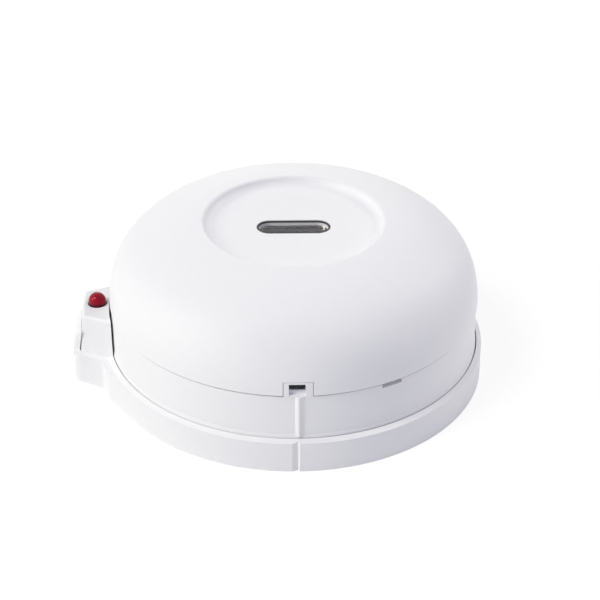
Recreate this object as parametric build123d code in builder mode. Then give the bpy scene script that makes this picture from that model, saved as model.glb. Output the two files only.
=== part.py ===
from build123d import *
import os
from math import acos, asin, atan, cos, degrees, hypot, radians, sin, tan

# Flame detector for a ceiling or a wall, in millimetres. +Z points away from the surface it is
# fixed to, the origin is the centre of the cable entry on the back face, the front with its
# alignment rib is at -Y, and the lamp lug is at -X.

# Clearances
running_gap = 0.3
seat_gap = 0.05

# Heads of the cross-slotted screws: the slots as shares of the head's radius
screw_head_taper = 12.0
screw_slot_length = 1.1
screw_slot_width = 0.25

# Collar, the part of the head that turns in the base
collar_radius = 51.65
collar_wall = 2.4
collar_flare = 0.3
collar_flare_rise = 1.0
skirt_foot = 4.8
seam_height = 22.8
deck_bottom = 10.8
deck_thickness = 2.0
spigot_wall = 1.5
spigot_rise = 3.6

# Dome cover: a superellipse of revolution with a shallow round recess in its top
cover_overhang = 0.33
cover_foot_gap = 0.45
cover_rise = 24.84
cover_side_power = 4.14
cover_top_power = 2.278
cover_wall = 2.0
recess_radius = 25.0
recess_depth = 2.94
recess_slope = 3.0
rim_round = 0.9

# Window in the middle of the recess
window_length = 20.6
window_width = 7.4
gasket_width = 0.55
gasket_height = 0.3
gasket_sink = 0.12
lens_recess = 0.85
lens_thickness = 1.6
lens_bevel = 0.15
frame_ledge = 0.4
frame_ledge_height = 1.05
frame_ring_wall = 1.7
frame_plate_length = 37.0
frame_plate_width = 9.6
frame_plate_thickness = 1.2
frame_screw_spacing = 31.0
frame_screw_radius = 1.0
frame_screw_skin = 1.2
frame_boss_wall = 1.6

# Mounting base
base_wall = 1.35
base_height = 9.0
base_rim_rise = 0.8
base_floor = 2.0
cable_entry_radius = 10.0
slot_spacing = 66.7
slot_width = 4.5
slot_length = 10.0
floor_rib_width = 1.6
floor_rib_height = 1.2

# Alignment marks at the front, and the slot where a blade prises the cover off
mark_groove_left = -1.12
mark_groove_middle = 0.36
mark_groove_right = 0.9
mark_groove_depth = 0.7
rib_left = -0.4
rib_crest = 0.67
rib_right = 2.05
rib_flat = 0.3
rib_proud = 0.6
rib_foot_gap = 0.4
pry_slot_angle = -60.3
pry_slot_length = 6.1
pry_slot_height = 1.05
pry_slot_depth = 2.0

# Tab of the collar in the cover's front notch, with the scooped hole of the release latch
tab_width = 7.8
tab_rise = 4.4
tab_shift = 0.45
tab_gap = 0.13
tab_sink = 0.15
hole_width = 4.4
hole_height = 2.5
hole_drop = 0.45
hole_shift = 0.2
scoop_depth = 1.4
scoop_floor_depth = 0.9
scoop_floor_rise = 0.45
scoop_lip = 0.35

# Lamp lug on the side of the base
lug_margin = 2.0
lug_half_angle = 8.0
lug_root_half_angle = 13.8
lug_corner_round = 3.0
lug_root_round = 2.0
band_width = 1.6
band_half_angle = 20.0
band_end_half_angle = 32.0

# Lamp cover and the wall behind it
lamp_inset = 3.35
lamp_cover_gap = 0.3
lamp_cover_height = 20.3
lamp_cover_depth = 8.45
lamp_cover_lean = 0.9
lamp_cover_foot_half = 7.35
lamp_cover_flare = 22.1
lamp_cover_draft = 5.2
lamp_cover_wall = 1.1
lamp_cover_top_wall = 1.3
lamp_cover_round = 1.0
sweep_half_angle = 30.0
lamp_cover_skirt = 2.2
lamp_cover_skirt_wall = 0.9
lug_wall_slit = 0.5
lug_wall_slit_top = 0.08
lug_wall_bevel = 1.6
lug_wall_slant = 3.2
lug_wall_height = 15.6
lug_wall_half_angle = 7.4
lug_wall_belly = 0.35
lug_wall_shoulder = 0.9
lug_wall_edge = 0.4
lamp_well_width = 4.4
lamp_well_length = 9.0
wire_port_width = 8.0

# Lamp
led_radius = 2.5
led_barrel = 6.1
led_rise = 0.8
led_hole_gap = 0.2
led_lead_size = 0.5
led_lead_pitch = 2.54
lamp_board_thickness = 1.0
lamp_board_level = 5.6
lamp_lead_end = 1.0
lamp_wire_radius = 0.7
lamp_wire_level = 1.1
lamp_wire_spread = 2.9
lamp_wire_turns = [(1.25, 2.9), (7.25, 10.0)]
lamp_wire_tab_turn = (8.0, 0.5)
lamp_wire_bends = [1.6, 5.0, 8.0, 6.0]
lamp_resistor_length = 2.0
lamp_resistor_width = 1.25
lamp_resistor_height = 0.6
lamp_resistor_shift = 3.4

# Bayonet: three hooks on the base floor and three lugs under the head's deck
bayonet_count = 3
bayonet_angle = 90.0
hook_half_angle = 8.0
hook_setback = 1.25
hook_wall = 2.0
hook_lip_reach = 5.5
hook_lip_height = 7.0
hook_lip_thickness = 1.5
lug_foot_half_angle = 6.0
lug_foot_thickness = 2.0
lug_foot_height = 4.6
lug_web = 1.7
unlock_angle = 20.0

# Terminals: four plates in the base, each wiped by a blade of the head
terminal_count = 4
terminal_angle = 45.0
terminal_radius = 30.0
terminal_width = 9.0
terminal_length = 9.0
terminal_thickness = 0.8
terminal_seat_height = 4.0
leaf_reach = 5.0
leaf_rise = 3.2
terminal_screw_radius = 1.75
terminal_screw_head_radius = 3.2
terminal_screw_head_height = 1.8
terminal_washer_size = 7.0
terminal_washer_thickness = 0.7
terminal_tab_width = 4.0
blade_length = 5.0
blade_riser = 1.5
blade_end = 0.5
blade_width = 8.0
post_radius = 1.2
post_head_radius = 2.1
post_head_height = 0.7

# Circuit boards
board_setback = 6.25
board_thickness = 1.6
boss_height = 5.6
boss_radius = 3.2
boss_inset = 5.0
boss_angle = 20.0
board_screw_radius = 1.5
board_screw_head_radius = 2.8
board_screw_head_height = 2.0
spacer_radius = 2.4
spacer_spacing_x = 26.0
spacer_spacing_y = 17.0
spacer_screw_radius = 1.25
sensor_board_length = 34.0
sensor_board_width = 24.0
sensor_board_round = 2.0
sensor_screw_depth = 5.6
link_pitch = 2.54
link_pins = 5
link_pin_size = 0.64
link_y = -10.0

# Components on the main board
chip_place = (0.0, 26.0)
chip_size = 10.0
chip_thickness = 1.4
chip_standoff = 0.1
chip_leg_span = 12.5
chip_leg_pitch = 1.0
chip_leg_width = 0.4
chip_leg_thickness = 0.3
amplifier_places = [(-20.0, 24.0), (-20.0, -22.0)]
amplifier_length = 5.0
amplifier_width = 4.0
amplifier_leg_span = 6.0
amplifier_leg_pitch = 1.27
capacitor_places = [(24.0, 5.0), (24.0, -6.0)]
capacitor_radius = 4.0
capacitor_height = 9.0
capacitor_score = 0.3
film_capacitor_places = [(-25.0, 4.0), (-32.0, -4.0)]
film_capacitor_length = 10.0
film_capacitor_width = 4.5
film_capacitor_height = 8.0
resistor_place = (20.0, -24.0)
resistor_length = 2.0
resistor_width = 1.25
resistor_height = 0.55
resistor_pitch_x = 3.2
resistor_pitch_y = 4.0
crystal_place = (20.0, 27.0)
crystal_length = 10.2
crystal_width = 3.8
crystal_height = 3.5
crystal_flange = 0.4

# Sensors under the window
sensor_spacing = 10.4
sensor_can_radius = 4.1
sensor_flange_radius = 4.6
sensor_height = 4.3
sensor_filter_radius = 2.9
sensor_filter_thickness = 0.5
sensor_pin_radius = 0.23
sensor_pin_circle = 2.54
shroud_wall = 1.4
shroud_height = 4.6
shroud_clearance = 0.43

# Release latch, which slides inward on the deck behind the hole in the front tab
latch_travel = 1.8
latch_setback = 0.85
latch_length = 5.2
latch_half_width = 3.7
latch_height = 3.5
latch_wing = 0.9
latch_wing_height = 1.3
latch_arm_half_width = 2.6
latch_arm_thickness = 2.0
latch_nose_setback = 1.6
latch_leg_half_width = 3.0
latch_leg_thickness = 2.0
latch_foot_reach = 2.0
latch_foot_height = 1.8
rail_wall = 1.2
catch_wall = 1.3
catch_lip_reach = 3.3
catch_margin_angle = 2.0
spring_wire_radius = 0.22
spring_radius = 1.5
spring_turns = 6
spring_length = 6.6
spring_nub_radius = 0.9
spring_nub_length = 1.6
spring_wall = 1.6

# Levels and radii that follow from these
deck_top = deck_bottom + deck_thickness
collar_bore = collar_radius - collar_wall
cover_radius = collar_radius + cover_overhang
plateau_radius = recess_radius - recess_slope
cover_foot = seam_height + cover_foot_gap
cover_bore = cover_radius - cover_wall
spigot_radius = cover_bore - 1.5 * running_gap
spigot_top = seam_height + spigot_rise
plateau_height = seam_height + cover_rise - recess_depth
ceiling_height = plateau_height - cover_wall
collar_foot_radius = collar_radius + collar_flare
base_bore = collar_foot_radius + running_gap
base_radius = base_bore + base_wall
band_radius = base_radius + band_width
base_rim_height = base_height + base_rim_rise
lamp_cover_inner_radius = cover_radius + lamp_cover_gap
lamp_cover_foot_radius = lamp_cover_inner_radius + lamp_cover_depth
lamp_cover_top_radius = lamp_cover_foot_radius - lamp_cover_lean
lug_radius = lamp_cover_foot_radius + lug_margin
lamp_side_radius = lug_radius + lug_margin
lamp_x = -lamp_cover_inner_radius - lamp_inset
lamp_cover_foot = base_height + seat_gap
hook_radius = collar_bore - hook_setback
latch_face_radius = collar_bore - latch_setback
main_board_radius = collar_bore - board_setback
boss_circle = main_board_radius - boss_inset
board_level = deck_top + boss_height
board_top = board_level + board_thickness
gasket_top = plateau_height - gasket_sink
gasket_bottom = gasket_top - gasket_height
lens_top = gasket_bottom - lens_recess
lens_bottom = lens_top - lens_thickness
frame_bottom = lens_bottom - seat_gap - frame_ledge_height
sensor_board_top = frame_bottom - shroud_clearance - shroud_height
sensor_board_level = sensor_board_top - board_thickness
spacer_height = sensor_board_level - board_top
tab_top = seam_height + tab_rise
tab_radius = cover_radius - tab_sink

os.makedirs("parts", exist_ok=True)


def polar(radius, angle):
    """Point at a radius and an angle in degrees."""
    return (radius * cos(radians(angle)), radius * sin(radians(angle)))


def radial_plane(angle):
    """Upright plane through the axis: its x is the radius at this angle, and its y is height."""
    x, y = polar(1, angle)
    return Plane((0, 0, 0), x_dir=(x, y, 0), z_dir=(y, -x, 0))


def tangent_plane(angle, radius):
    """Upright plane square to the radius: its x runs anticlockwise, and its y is height."""
    x, y = polar(1, angle)
    return Plane((radius * x, radius * y, 0), x_dir=(-y, x, 0), z_dir=(x, y, 0))


def cover_points(radius, rise, rim_radius, count=12):
    """Points up the cover's side, from its foot to the radius of its rim."""
    first = asin(((cover_foot - seam_height) / rise) ** (cover_top_power / 2))
    last = acos((rim_radius / radius) ** (cover_side_power / 2))
    steps = [first + (last - first) * i / (count - 1) for i in range(count)]
    return [
        (
            radius * cos(s) ** (2 / cover_side_power),
            seam_height + rise * sin(s) ** (2 / cover_top_power),
        )
        for s in steps
    ]


def ring_sector(inner, outer, start, end):
    """Plan of a ring between two radii and two angles."""
    with BuildSketch(mode=Mode.PRIVATE) as sector:
        with BuildLine():
            far = ThreePointArc(
                polar(outer, start), polar(outer, (start + end) / 2), polar(outer, end)
            )
            near = ThreePointArc(
                polar(inner, end), polar(inner, (start + end) / 2), polar(inner, start)
            )
            Line(far @ 1, near @ 0)
            Line(near @ 1, far @ 0)
        make_face()
    return sector.sketch


def pan_screws(places, seat, head_radius, head_height, shank_radius, shank_length, way=1):
    """Adds a cross-slotted screw at each place, its head on the level seat, shank the other way."""
    with BuildSketch(Plane.XY.offset(seat)) as heads:
        with Locations(*places):
            Circle(head_radius)
    extrude(heads.sketch, amount=way * head_height, taper=screw_head_taper)
    with BuildSketch(Plane.XY.offset(seat)) as shanks:
        with Locations(*places):
            Circle(shank_radius)
    extrude(shanks.sketch, amount=-way * shank_length)
    with BuildSketch(Plane.XY.offset(seat + way * head_height)) as crosses:
        with Locations(*places):
            Rectangle(screw_slot_length * head_radius, screw_slot_width * head_radius)
            Rectangle(screw_slot_width * head_radius, screw_slot_length * head_radius)
    extrude(crosses.sketch, amount=-way * head_height / 2, mode=Mode.SUBTRACT)


# Dome cover
front_notch_width = tab_width + 2 * tab_gap
ceiling_radius = plateau_radius + cover_wall
inner_rim_radius = recess_radius + cover_wall
frame_boss_radius = frame_screw_radius + frame_boss_wall
frame_plate_top = frame_bottom + frame_plate_thickness
aperture_length = window_length - 2 * gasket_width - 2 * seat_gap
aperture_width = window_width - 2 * gasket_width - 2 * seat_gap

with BuildPart() as dome_cover:
    with BuildSketch(Plane.XZ):
        with BuildLine():
            side = Spline(cover_points(cover_radius, cover_rise, recess_radius))
            TangentArc((plateau_radius, plateau_height), side @ 1, tangent=(1, 0))
            lining = Spline(
                cover_points(cover_radius - cover_wall, cover_rise - cover_wall, inner_rim_radius)
            )
            Line(side @ 0, lining @ 0)
            Polyline(
                lining @ 1,
                (ceiling_radius, ceiling_height),
                (0, ceiling_height),
                (0, plateau_height),
                (plateau_radius, plateau_height),
            )
        make_face()
    revolve(axis=Axis.Z)
    fillet(dome_cover.edges().filter_by(GeomType.CIRCLE).sort_by(Axis.Z)[-1], radius=rim_round)
    with BuildSketch(Plane.XY.offset(ceiling_height)):
        with Locations((frame_screw_spacing / 2, 0), (-frame_screw_spacing / 2, 0)):
            Circle(frame_boss_radius)
    extrude(amount=-(ceiling_height - frame_plate_top - seat_gap))
    with BuildSketch(Plane.XY.offset(frame_plate_top)):
        with Locations((frame_screw_spacing / 2, 0), (-frame_screw_spacing / 2, 0)):
            Circle(frame_screw_radius + seat_gap)
    extrude(amount=plateau_height - cover_wall / 2 - frame_plate_top, mode=Mode.SUBTRACT)
    with BuildSketch(Plane.XY.offset(plateau_height)):
        SlotOverall(window_length, window_width)
    extrude(amount=gasket_bottom - seat_gap - plateau_height, mode=Mode.SUBTRACT)
    with BuildSketch(Plane.XY.offset(plateau_height)):
        SlotOverall(aperture_length, aperture_width)
    extrude(amount=-2 * cover_wall, mode=Mode.SUBTRACT)
    with BuildSketch(Plane.XY.offset(seam_height)):
        with Locations((tab_shift, -cover_radius)):
            Rectangle(front_notch_width, 4 * cover_wall)
    extrude(amount=tab_rise + tab_gap, mode=Mode.SUBTRACT)
dome_cover.part.label = "dome_cover"
export_step(dome_cover.part, "parts/dome_cover.step")

# Window: a black ring round the opening, and a clear pane below it in a frame under the cover
frame_pocket = lens_bottom - seat_gap
lens_length = aperture_length - 2 * seat_gap
lens_width = aperture_width - 2 * seat_gap
frame_screw_places = [(frame_screw_spacing / 2, 0), (-frame_screw_spacing / 2, 0)]

with BuildPart() as window_gasket:
    with BuildSketch(Plane.XY.offset(gasket_bottom)):
        SlotOverall(window_length - 2 * seat_gap, window_width - 2 * seat_gap)
        SlotOverall(aperture_length, aperture_width, mode=Mode.SUBTRACT)
    extrude(amount=gasket_height)
window_gasket.part.label = "window_gasket"
export_step(window_gasket.part, "parts/window_gasket.step")

with BuildPart() as window_lens:
    with BuildSketch(Plane.XY.offset(lens_bottom)):
        SlotOverall(lens_length, lens_width)
    extrude(amount=lens_thickness)
    chamfer(window_lens.edges().group_by(Axis.Z)[-1], length=lens_bevel)
window_lens.part.label = "window_lens"
export_step(window_lens.part, "parts/window_lens.step")

with BuildPart() as window_frame:
    with BuildSketch(Plane.XY.offset(frame_bottom)):
        SlotOverall(frame_plate_length, frame_plate_width)
    extrude(amount=frame_plate_thickness)
    with BuildSketch(Plane.XY.offset(frame_bottom)):
        SlotOverall(window_length + 2 * frame_ring_wall, window_width + 2 * frame_ring_wall)
    extrude(amount=ceiling_height - seat_gap - frame_bottom)
    with BuildSketch(Plane.XY.offset(frame_pocket)):
        SlotOverall(aperture_length, aperture_width)
    extrude(amount=plateau_height - frame_pocket, mode=Mode.SUBTRACT)
    with BuildSketch(Plane.XY.offset(frame_bottom)):
        SlotOverall(lens_length - 2 * frame_ledge, lens_width - 2 * frame_ledge)
        with Locations(*frame_screw_places):
            Circle(frame_screw_radius + seat_gap)
    extrude(amount=plateau_height - frame_bottom, mode=Mode.SUBTRACT)
window_frame.part.label = "window_frame"
export_step(window_frame.part, "parts/window_frame.step")

with BuildPart() as frame_screws:
    pan_screws(
        frame_screw_places,
        frame_bottom,
        2 * frame_screw_radius,
        frame_screw_radius,
        frame_screw_radius,
        plateau_height - frame_screw_skin - frame_bottom,
        way=-1,
    )
frame_screws.part.label = "frame_screws"
export_step(frame_screws.part, "parts/frame_screws.step")

# Places that the base and the head share
bayonet_angles = [bayonet_angle + 360 / bayonet_count * i for i in range(bayonet_count)]
terminal_angles = [terminal_angle + 360 / terminal_count * i for i in range(terminal_count)]
hook_inner_radius = hook_radius - hook_wall
lug_foot_radius = hook_inner_radius - 1.3 * running_gap
lug_web_outer = hook_radius - hook_lip_reach - running_gap
lug_web_inner = lug_web_outer - lug_web
latch_front = -latch_face_radius
latch_back = latch_front + latch_length
latch_floor = deck_top + running_gap
latch_foot_front = latch_back - latch_leg_thickness - latch_foot_reach
catch_inner_radius = hypot(latch_leg_half_width, latch_foot_front) + running_gap
catch_half_angle = degrees(atan(latch_leg_half_width / -latch_foot_front)) + catch_margin_angle
terminal_screw_shift = -terminal_length / 4
blade_start = terminal_length / 2 + leaf_reach / 2
post_shift = blade_start + blade_length + blade_riser + post_head_radius + 2 * running_gap
post_places = [
    (
        terminal_radius * cos(radians(a)) - post_shift * sin(radians(a)),
        terminal_radius * sin(radians(a)) + post_shift * cos(radians(a)),
    )
    for a in terminal_angles
]
terminal_screw_places = [
    (
        terminal_radius * cos(radians(a)) - terminal_screw_shift * sin(radians(a)),
        terminal_radius * sin(radians(a)) + terminal_screw_shift * cos(radians(a)),
    )
    for a in terminal_angles
]
lamp_flare_slope = tan(radians(lamp_cover_flare))


def lamp_half_width(radius):
    """Half the width of the lamp cover's foot at a distance from the axis."""
    return lamp_cover_foot_half + (lamp_cover_foot_radius - radius) * lamp_flare_slope


def lamp_outline(level, grow):
    """Plan of the lamp cover at a level, grown or shrunk: flared ends between two arcs."""
    outer_half = lamp_half_width(lamp_side_radius) + grow
    inner_half = lamp_half_width(collar_bore) + grow
    near = lamp_cover_inner_radius - grow
    far = lamp_cover_foot_radius + grow
    with BuildSketch(Plane.XY.offset(level), mode=Mode.PRIVATE) as outline:
        Polygon(
            (-lamp_side_radius, -outer_half),
            (-collar_bore, -inner_half),
            (-collar_bore, inner_half),
            (-lamp_side_radius, outer_half),
            align=None,
        )
        add(ring_sector(near, far, 180 - sweep_half_angle, 180 + sweep_half_angle), mode=Mode.INTERSECT)
    return outline.sketch


# Mounting base
with BuildPart() as mounting_base:
    with BuildSketch() as lug_plan:
        with BuildLine():
            far = ThreePointArc(
                polar(lug_radius, 180 - lug_half_angle),
                (-lug_radius, 0),
                polar(lug_radius, 180 + lug_half_angle),
            )
            Polyline(
                far @ 1,
                polar(band_radius, 180 + lug_root_half_angle),
                polar(cover_bore, 180 + lug_root_half_angle),
                polar(cover_bore, 180 - lug_root_half_angle),
                polar(band_radius, 180 - lug_root_half_angle),
                far @ 0,
            )
        make_face()
        fillet(lug_plan.vertices().group_by(Axis.X)[0], radius=lug_corner_round)
        add(ring_sector(cover_bore, band_radius, 180 - band_half_angle, 180 + band_half_angle))
        Polygon(
            (0, 0),
            polar(base_radius, 180 - band_end_half_angle),
            polar(band_radius, 180 - band_half_angle),
            polar(band_radius, 180 + band_half_angle),
            polar(base_radius, 180 + band_end_half_angle),
            align=None,
        )
        Circle(base_radius)
        fillet(
            lug_plan.vertices()
            .sort_by(lambda v: abs(hypot(v.X, v.Y) - band_radius) + 0.01 * abs(v.Y))[:2],
            radius=lug_root_round,
        )
    extrude(amount=base_height)
    with BuildSketch(Plane.XY.offset(base_floor)):
        Circle(base_bore)
    extrude(amount=base_height, mode=Mode.SUBTRACT)
    with BuildSketch(Plane.XZ):
        Polygon(
            (base_bore, base_height - base_rim_rise),
            (base_radius, base_height - base_rim_rise),
            (base_radius, base_height),
            (base_bore, base_rim_height),
            align=None,
        )
    revolve(axis=Axis.Z)
    # Level seat for the lamp cover, and the pocket under it
    extrude(lamp_outline(base_height, seat_gap), amount=2 * base_rim_rise, mode=Mode.SUBTRACT)
    pocket_plan = lamp_outline(lamp_board_level, -lamp_cover_wall - seat_gap)
    extrude(pocket_plan, amount=base_height, mode=Mode.SUBTRACT)
    with BuildSketch(Plane.XY.offset(base_floor)):
        with Locations((lamp_x, 0)):
            Rectangle(lamp_well_width, lamp_well_length)
    extrude(amount=base_height, mode=Mode.SUBTRACT)
    with BuildSketch(Plane.XY.offset(base_floor)):
        with Locations((lamp_x, 0)):
            Rectangle(-lamp_x - collar_bore, wire_port_width, align=(Align.MIN, Align.CENTER))
    extrude(amount=3 * lamp_wire_radius, mode=Mode.SUBTRACT)
    # Wall behind the lamp cover
    slope = (lamp_cover_foot_radius - lamp_cover_top_radius) / (lamp_cover_height - base_height)
    wall_foot = base_height - base_rim_rise
    wall_rise = lug_wall_height - base_height
    wall_inner_top = lamp_cover_foot_radius - slope * wall_rise + lug_wall_slit_top
    with BuildSketch(radial_plane(180 - lug_wall_half_angle)):
        Polygon(
            (lamp_cover_foot_radius + lug_wall_slit, wall_foot),
            (lug_radius, wall_foot),
            (lug_radius, base_height),
            (lug_radius - lug_wall_belly, base_height + wall_rise / 3),
            (lug_radius - lug_wall_shoulder, base_height + 2 * wall_rise / 3),
            (wall_inner_top + lug_wall_edge, lug_wall_height),
            (wall_inner_top, lug_wall_height),
            align=None,
        )
    revolve(axis=Axis.Z, revolution_arc=2 * lug_wall_half_angle)
    bevel_angle = degrees(lug_wall_bevel / lug_radius)
    with BuildSketch(Plane.XY.offset(base_height)):
        Polygon(
            polar(lug_radius - lug_wall_bevel, 180 - lug_wall_half_angle),
            polar(lug_radius + lug_wall_bevel, 180 - lug_wall_half_angle - bevel_angle),
            polar(lug_radius, 180 - lug_wall_half_angle + bevel_angle),
            align=None,
        )
        Polygon(
            polar(wall_inner_top, 180 + lug_wall_half_angle),
            polar(lamp_side_radius, 180 + lug_wall_half_angle - lug_wall_slant),
            polar(lamp_side_radius, 180 + lug_wall_half_angle + lug_wall_slant),
            align=None,
        )
    extrude(amount=wall_rise, mode=Mode.SUBTRACT)
    # Hooks of the bayonet, and the catch over the latch's foot
    for angle in bayonet_angles:
        with BuildSketch(radial_plane(angle - hook_half_angle)):
            Polygon(
                (hook_inner_radius, base_floor),
                (hook_radius, base_floor),
                (hook_radius, hook_lip_height + hook_lip_thickness),
                (hook_radius - hook_lip_reach, hook_lip_height + hook_lip_thickness),
                (hook_radius - hook_lip_reach, hook_lip_height),
                (hook_inner_radius, hook_lip_height),
                align=None,
            )
        revolve(axis=Axis.Z, revolution_arc=2 * hook_half_angle)
    catch_outer = catch_inner_radius + catch_wall
    catch_lip = catch_outer - catch_lip_reach
    with BuildSketch(radial_plane(-90 - catch_half_angle)):
        Polygon(
            (catch_inner_radius, base_floor),
            (catch_outer, base_floor),
            (catch_outer, hook_lip_height + hook_lip_thickness),
            (catch_lip, hook_lip_height + hook_lip_thickness),
            (catch_lip, hook_lip_height),
            (catch_inner_radius, hook_lip_height),
            align=None,
        )
    revolve(axis=Axis.Z, revolution_arc=2 * catch_half_angle + unlock_angle)
    # Seats of the terminals
    for angle in terminal_angles:
        with BuildSketch(Plane.XY.offset(base_floor)):
            with Locations(Location((*polar(terminal_radius, angle), 0), angle)):
                Rectangle(terminal_width, terminal_length)
    extrude(amount=terminal_seat_height - base_floor)
    with BuildSketch(Plane.XY.offset(terminal_seat_height)):
        with Locations(*terminal_screw_places):
            Circle(terminal_screw_radius + seat_gap)
    extrude(amount=-(terminal_seat_height - base_floor / 2), mode=Mode.SUBTRACT)
    # Rib round the cable entry, the entry itself and the two fixing slots
    with BuildSketch(Plane.XY.offset(base_floor)):
        Circle(cable_entry_radius + floor_rib_width)
    extrude(amount=floor_rib_height)
    with BuildSketch():
        Circle(cable_entry_radius)
        with Locations((slot_spacing / 2, 0), (-slot_spacing / 2, 0)):
            SlotOverall(slot_length, slot_width)
    extrude(amount=base_height, mode=Mode.SUBTRACT)
    # Mark groove at the front
    with BuildSketch():
        with Locations((0, -base_radius)):
            Polygon(
                (mark_groove_left, -mark_groove_depth),
                (mark_groove_right, -mark_groove_depth),
                (mark_groove_right, 0),
                (mark_groove_middle, mark_groove_depth),
                (mark_groove_left, 0),
                align=None,
            )
    extrude(amount=2 * base_height, mode=Mode.SUBTRACT)
mounting_base.part.label = "mounting_base"
export_step(mounting_base.part, "parts/mounting_base.step")

# Lamp cover
with BuildPart() as lamp_cover:
    with BuildSketch(radial_plane(180 - sweep_half_angle)):
        Polygon(
            (lamp_cover_inner_radius, lamp_cover_foot),
            (lamp_cover_foot_radius, lamp_cover_foot),
            (lamp_cover_top_radius, lamp_cover_height),
            (lamp_cover_inner_radius, lamp_cover_height),
            align=None,
        )
    revolve(axis=Axis.Z, revolution_arc=2 * sweep_half_angle)
    with BuildSketch(Plane.XY.offset(lamp_cover_foot)):
        Polygon(
            (-lamp_side_radius, -lamp_half_width(lamp_side_radius)),
            (-collar_bore, -lamp_half_width(collar_bore)),
            (-collar_bore, lamp_half_width(collar_bore)),
            (-lamp_side_radius, lamp_half_width(lamp_side_radius)),
            align=None,
        )
    extrude(
        amount=lamp_cover_height - lamp_cover_foot, taper=lamp_cover_draft, mode=Mode.INTERSECT
    )
    top_edges = lamp_cover.edges().group_by(Axis.Z)[-1].sort_by(Axis.X)
    fillet(top_edges[:-1], radius=lamp_cover_round)
    skirt_bottom = lamp_cover_foot - lamp_cover_skirt
    extrude(
        lamp_outline(skirt_bottom, -lamp_cover_wall - 2 * seat_gap),
        amount=lamp_cover_skirt + lamp_cover_wall,
    )
    extrude(
        lamp_outline(skirt_bottom, -lamp_cover_wall - lamp_cover_skirt_wall),
        amount=lamp_cover_height - lamp_cover_top_wall - skirt_bottom,
        mode=Mode.SUBTRACT,
    )
    with BuildSketch(Plane.XY.offset(lamp_cover_foot)):
        with Locations((lamp_x, 0)):
            Circle(led_radius + led_hole_gap)
    extrude(amount=lamp_cover_height, mode=Mode.SUBTRACT)
lamp_cover.part.label = "lamp_cover"
export_step(lamp_cover.part, "parts/lamp_cover.step")

# Lamp in the top of its cover, on a small board over the pocket of the lug
led_centre_height = lamp_cover_height + led_rise
led_bottom = led_centre_height - led_barrel
lamp_board_top = lamp_board_level + lamp_board_thickness
lamp_lead_drop = led_bottom - lamp_board_level + lamp_lead_end
lamp_plane = Plane((lamp_x, 0, 0), x_dir=(1, 0, 0), z_dir=(0, -1, 0))

with BuildPart() as indicator_led:
    with BuildSketch(lamp_plane):
        with BuildLine():
            Polyline(
                (0, led_centre_height + led_radius),
                (0, led_bottom),
                (led_radius, led_bottom),
                (led_radius, led_centre_height),
            )
            CenterArc((0, led_centre_height), led_radius, 0, 90)
        make_face()
    revolve(axis=Axis((lamp_x, 0, 0), (0, 0, 1)))
indicator_led.part.label = "indicator_led"
export_step(indicator_led.part, "parts/indicator_led.step")

with BuildPart() as led_leads:
    with BuildSketch(Plane.XY.offset(led_bottom)):
        with Locations((lamp_x, led_lead_pitch / 2), (lamp_x, -led_lead_pitch / 2)):
            Rectangle(led_lead_size, led_lead_size)
    extrude(amount=-lamp_lead_drop)
led_leads.part.label = "led_leads"
export_step(led_leads.part, "parts/led_leads.step")

with BuildPart() as lamp_board:
    extrude(
        lamp_outline(lamp_board_level, -lamp_cover_wall - 3 * seat_gap),
        amount=lamp_board_thickness,
    )
    with BuildSketch(Plane.XY.offset(lamp_board_level)):
        with Locations((lamp_x, led_lead_pitch / 2), (lamp_x, -led_lead_pitch / 2)):
            Circle(led_lead_size)
    extrude(amount=lamp_board_thickness, mode=Mode.SUBTRACT)
lamp_board.part.label = "lamp_board"
export_step(lamp_board.part, "parts/lamp_board.step")

with BuildPart() as lamp_resistor:
    with BuildSketch(Plane.XY.offset(lamp_board_top)):
        with Locations((lamp_x, lamp_resistor_shift)):
            Rectangle(lamp_resistor_length, lamp_resistor_width)
    extrude(amount=lamp_resistor_height)
    chamfer(lamp_resistor.edges().filter_by(Axis.Z), length=lamp_resistor_height / 6)
lamp_resistor.part.label = "lamp_resistor"
export_step(lamp_resistor.part, "parts/lamp_resistor.step")

# Two leads from the lamp board, through the port under the skirt, to two terminal tabs
wire_height = base_floor + lamp_wire_level
wire_tab = polar(
    terminal_radius + terminal_width / 2 + terminal_thickness + seat_gap, terminal_angles[2]
)

with BuildPart() as lamp_wires:
    for side in (1, -1):
        route = [
            (lamp_x, side * lamp_wire_spread, lamp_board_level),
            (lamp_x, side * lamp_wire_spread, wire_height),
        ]
        route += [(x - collar_bore, side * y, wire_height) for x, y in lamp_wire_turns]
        tab_turn = (wire_tab[0] - lamp_wire_tab_turn[0], lamp_wire_tab_turn[1] - wire_tab[1])
        route += [(tab_turn[0], side * tab_turn[1], wire_height)]
        route += [(wire_tab[0] - lamp_wire_radius, -side * wire_tab[1], wire_height)]
        with BuildLine() as lead:
            FilletPolyline(*route, radius=lamp_wire_bends)
        with BuildSketch(Plane(lead.line @ 0, z_dir=lead.line % 0)):
            Circle(lamp_wire_radius)
        sweep()
lamp_wires.part.label = "lamp_wires"
export_step(lamp_wires.part, "parts/lamp_wires.step")

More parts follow.
